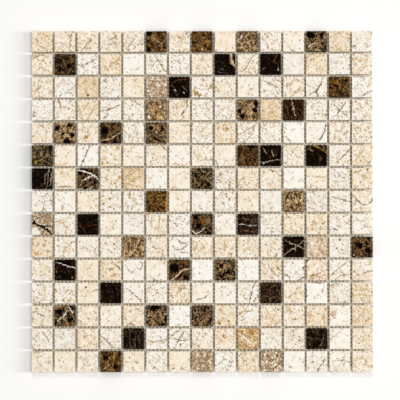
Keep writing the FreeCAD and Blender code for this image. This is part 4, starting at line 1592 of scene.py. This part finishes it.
@dataclass
class BondingFilm:
    """The resin film: flat under the chips, sunk into the net in the joints, drawn up their sides."""

    low: Vector
    high: Vector
    chips: ChipCourses
    yarn_origin: Point
    yarn_pitch: float
    thickness: float = 0.05 * MM
    under: float = 0.55 * MM
    sunk: float = 0.08 * MM
    sunk_spread: float = 0.04 * MM
    climb: float = 0.45 * MM
    tuck: float = 0.35 * MM
    skirt: float = 0.03 * MM
    fillet: float = 0.20 * MM
    spans: int = 4
    smooth_degrees: float = 40.0
    seed: int = 77

    @classmethod
    def from_frame(cls, chips: ChipCourses, net: YarnNet) -> "BondingFilm":
        """Takes the film's outline from its CAD node."""
        return cls(*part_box("bonding_resin"), chips, net.origin, net.cell)

    def lines(self, axis: int) -> tuple[np.ndarray, np.ndarray]:
        """Works out the grid lines across one axis, and what lies over each.

        Args:
            axis: 0 for x or 1 for y.

        Returns:
            The lines' places, and the cover over each.
        """
        pitch, half_joint = self.chips.pitch, (self.chips.pitch - self.chips.side) / 2
        steps = ((self.tuck, Cover.CHIP), (-self.skirt, Cover.CHIP_EDGE), (-self.fillet, Cover.JOINT))
        profile = [(side * (half_joint + out), cover) for out, cover in steps for side in (-1, 1)]
        profile += [(pitch * span / self.spans, Cover.CHIP) for span in range(1, self.spans)]
        joints = [(number - COURSES / 2) * pitch for number in range(COURSES + 1)]
        marked = sorted((joint + away, cover) for joint in joints for away, cover in profile)
        low, high = self.low[axis], self.high[axis]
        kept = [(place, cover) for place, cover in marked if low < place < high]
        kept = [(low, kept[0][1]), *kept, (high, kept[-1][1])]
        places, covers = zip(*kept)
        return np.array(places), np.array(covers)

    def shape(self, film: bpy.types.Object) -> None:
        """Moves the film's vertices to their lines, sinks it into the joints and marks the crossings."""
        (across, across_cover), (down, down_cover) = self.lines(0), self.lines(1)
        points = read_points(film.data)
        column = np.rint((points[:, 0] + 0.5) * (len(across) - 1)).astype(int)
        row = np.rint((points[:, 1] + 0.5) * (len(down) - 1)).astype(int)
        cover = np.maximum(across_cover[column], down_cover[row])
        uneven = np.random.default_rng([SEED, self.seed]).uniform(0, 1, len(points))
        in_joint = self.sunk + self.sunk_spread * uneven
        by_chip = self.under + self.climb * uneven ** 2
        height = np.select([cover == Cover.JOINT, cover == Cover.CHIP_EDGE], [in_joint, by_chip], self.under)
        write_points(film.data, np.column_stack([across[column], down[row], height]))
        crossing = (across_cover[column] == Cover.JOINT) & (down_cover[row] == Cover.JOINT)
        write_attribute(film.data, "crossing", "FLOAT", crossing[:, None])

    def build(self) -> None:
        """Models the film and lays it."""
        deselect_all()
        across, down = (len(self.lines(axis)[0]) - 1 for axis in (0, 1))
        bpy.ops.mesh.primitive_grid_add(x_subdivisions=across, y_subdivisions=down, size=1)
        film = bpy.context.object
        film.name = "bonding_film"
        self.shape(film)
        shell = film.modifiers.new("thickness", "SOLIDIFY")
        shell.thickness = self.thickness
        shell.offset = -1
        apply_modifiers(film)
        bpy.ops.object.shade_smooth_by_angle(angle=math.radians(self.smooth_degrees))
        film.data.materials.append(BondingResin(self.yarn_origin, self.yarn_pitch).build())
        stand_for(film, "bonding_resin")


@dataclass(frozen=True)
class SoftBox:
    """An area light that stands off from the sheet's middle and faces it."""

    name: str
    bearing: float
    height: float
    breadth: float
    tallness: float
    power: float
    mirrored: bool = False
    distance: float = 6.0

    def hang(self) -> None:
        """Hangs the light; bearing counts from +X towards +Y, and all angles are in degrees."""
        lamp = bpy.data.lights.new(self.name, "AREA")
        lamp.shape = "RECTANGLE"
        lamp.size = 2 * self.distance * math.tan(math.radians(self.breadth / 2))
        lamp.size_y = 2 * self.distance * math.tan(math.radians(self.tallness / 2))
        lamp.energy = self.power
        box = bpy.data.objects.new(self.name, lamp)
        box.visible_glossy = self.mirrored
        bpy.context.scene.collection.objects.link(box)
        level = self.distance * math.cos(math.radians(self.height))
        turn = math.radians(self.bearing)
        rise = self.distance * math.sin(math.radians(self.height))
        box.location = (level * math.cos(turn), level * math.sin(turn), rise)
        box.rotation_euler = (-box.location).to_track_quat("-Z", "Y").to_euler()


@dataclass(frozen=True)
class FloorPaint:
    """Pale matt paint that is a little uneven."""

    colour: Colour = (251, 250, 248)
    rough: float = 0.8
    rough_spread: float = 0.1
    grain: Clouds = Clouds(300.0)

    def build(self) -> bpy.types.Material:
        """Makes the material."""
        material, graph, shader = new_material("pale_floor")
        grain = self.grain.noise(graph, graph.node("ShaderNodeTexCoord").outputs["Object"])
        shader.inputs["Base Color"].default_value = linear(self.colour)
        shader.inputs["Specular IOR Level"].default_value = 0.0
        graph.feed(shader.inputs["Roughness"], graph.fit(grain, self.rough_spread, self.rough))
        return material


@dataclass(frozen=True)
class Studio:
    """Pale floor, soft dome that is dim overhead, soft boxes in line with the joints, and camera."""

    floor_size: float = 8.0
    dome_level: float = 0.30
    overhead_level: float = 0.03
    overhead_from: float = 0.60
    overhead_to: float = 0.90
    boxes: tuple[SoftBox, ...] = (
        SoftBox("key", bearing=0, height=38, breadth=7, tallness=44, power=158.0, mirrored=True),
        SoftBox("high_right", bearing=0, height=78, breadth=8, tallness=8, power=78.0),
        SoftBox("high_back", bearing=90, height=64, breadth=8, tallness=16, power=71.0),
        SoftBox("high_front", bearing=270, height=74, breadth=8, tallness=8, power=31.0),
    )
    camera_place: Triple = (0.0003, -0.0791, 3.0)
    camera_turn: Triple = (1.538, 0.046, -0.05)
    camera_lens: float = 303.05
    camera_sensor: float = 36.0

    def lay_floor(self) -> None:
        """Lays the floor under the net."""
        deselect_all()
        bpy.ops.mesh.primitive_plane_add(size=self.floor_size)
        floor = bpy.context.object
        floor.name = "floor"
        floor.data.materials.append(FloorPaint().build())

    def raise_dome(self) -> None:
        """Makes the world: a soft dome, dim overhead so that dark stone stays dark from above."""
        world = bpy.data.worlds.new("studio_dome")
        world.use_nodes = True
        bpy.context.scene.world = world
        graph = Graph(world.node_tree)
        back = world.node_tree.nodes["Background"]
        up = graph.split(graph.node("ShaderNodeTexCoord").outputs["Generated"])[2]
        path = graph.node("ShaderNodeLightPath")
        dim = graph.times(graph.band(up, self.overhead_from, self.overhead_to), path.outputs["Is Glossy Ray"])
        level = graph.fit(dim, self.overhead_level - self.dome_level, self.dome_level)
        seen = graph.math("MAXIMUM", path.outputs["Is Camera Ray"], path.outputs["Is Transmission Ray"])
        graph.feed(back.inputs["Strength"], graph.fit(seen, graph.minus(1.0, level), level))
        back.inputs["Color"].default_value = (1, 1, 1, 1)

    def set_camera(self) -> None:
        """Sets the camera over the sheet."""
        lens = bpy.data.cameras.new("camera")
        lens.sensor_width = self.camera_sensor
        lens.lens = self.camera_lens
        camera = bpy.data.objects.new("camera", lens)
        bpy.context.scene.collection.objects.link(camera)
        camera.location = self.camera_place
        camera.rotation_euler = [math.radians(turn) for turn in self.camera_turn]
        bpy.context.scene.camera = camera

    def build(self) -> None:
        """Sets the whole stage."""
        self.lay_floor()
        self.raise_dome()
        for box in self.boxes:
            box.hang()
        self.set_camera()
        bpy.context.scene.view_settings.view_transform = "Standard"


def main() -> None:
    """Builds the sheet and its stage."""
    logging.basicConfig(level=logging.INFO, format="%(message)s")
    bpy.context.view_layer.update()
    chips = ChipCourses.from_frame()
    chips.build()
    net = YarnNet.from_frame()
    net.build()
    BondingFilm.from_frame(chips, net).build()
    Studio().build()


if __name__ == "__main__":
    main()
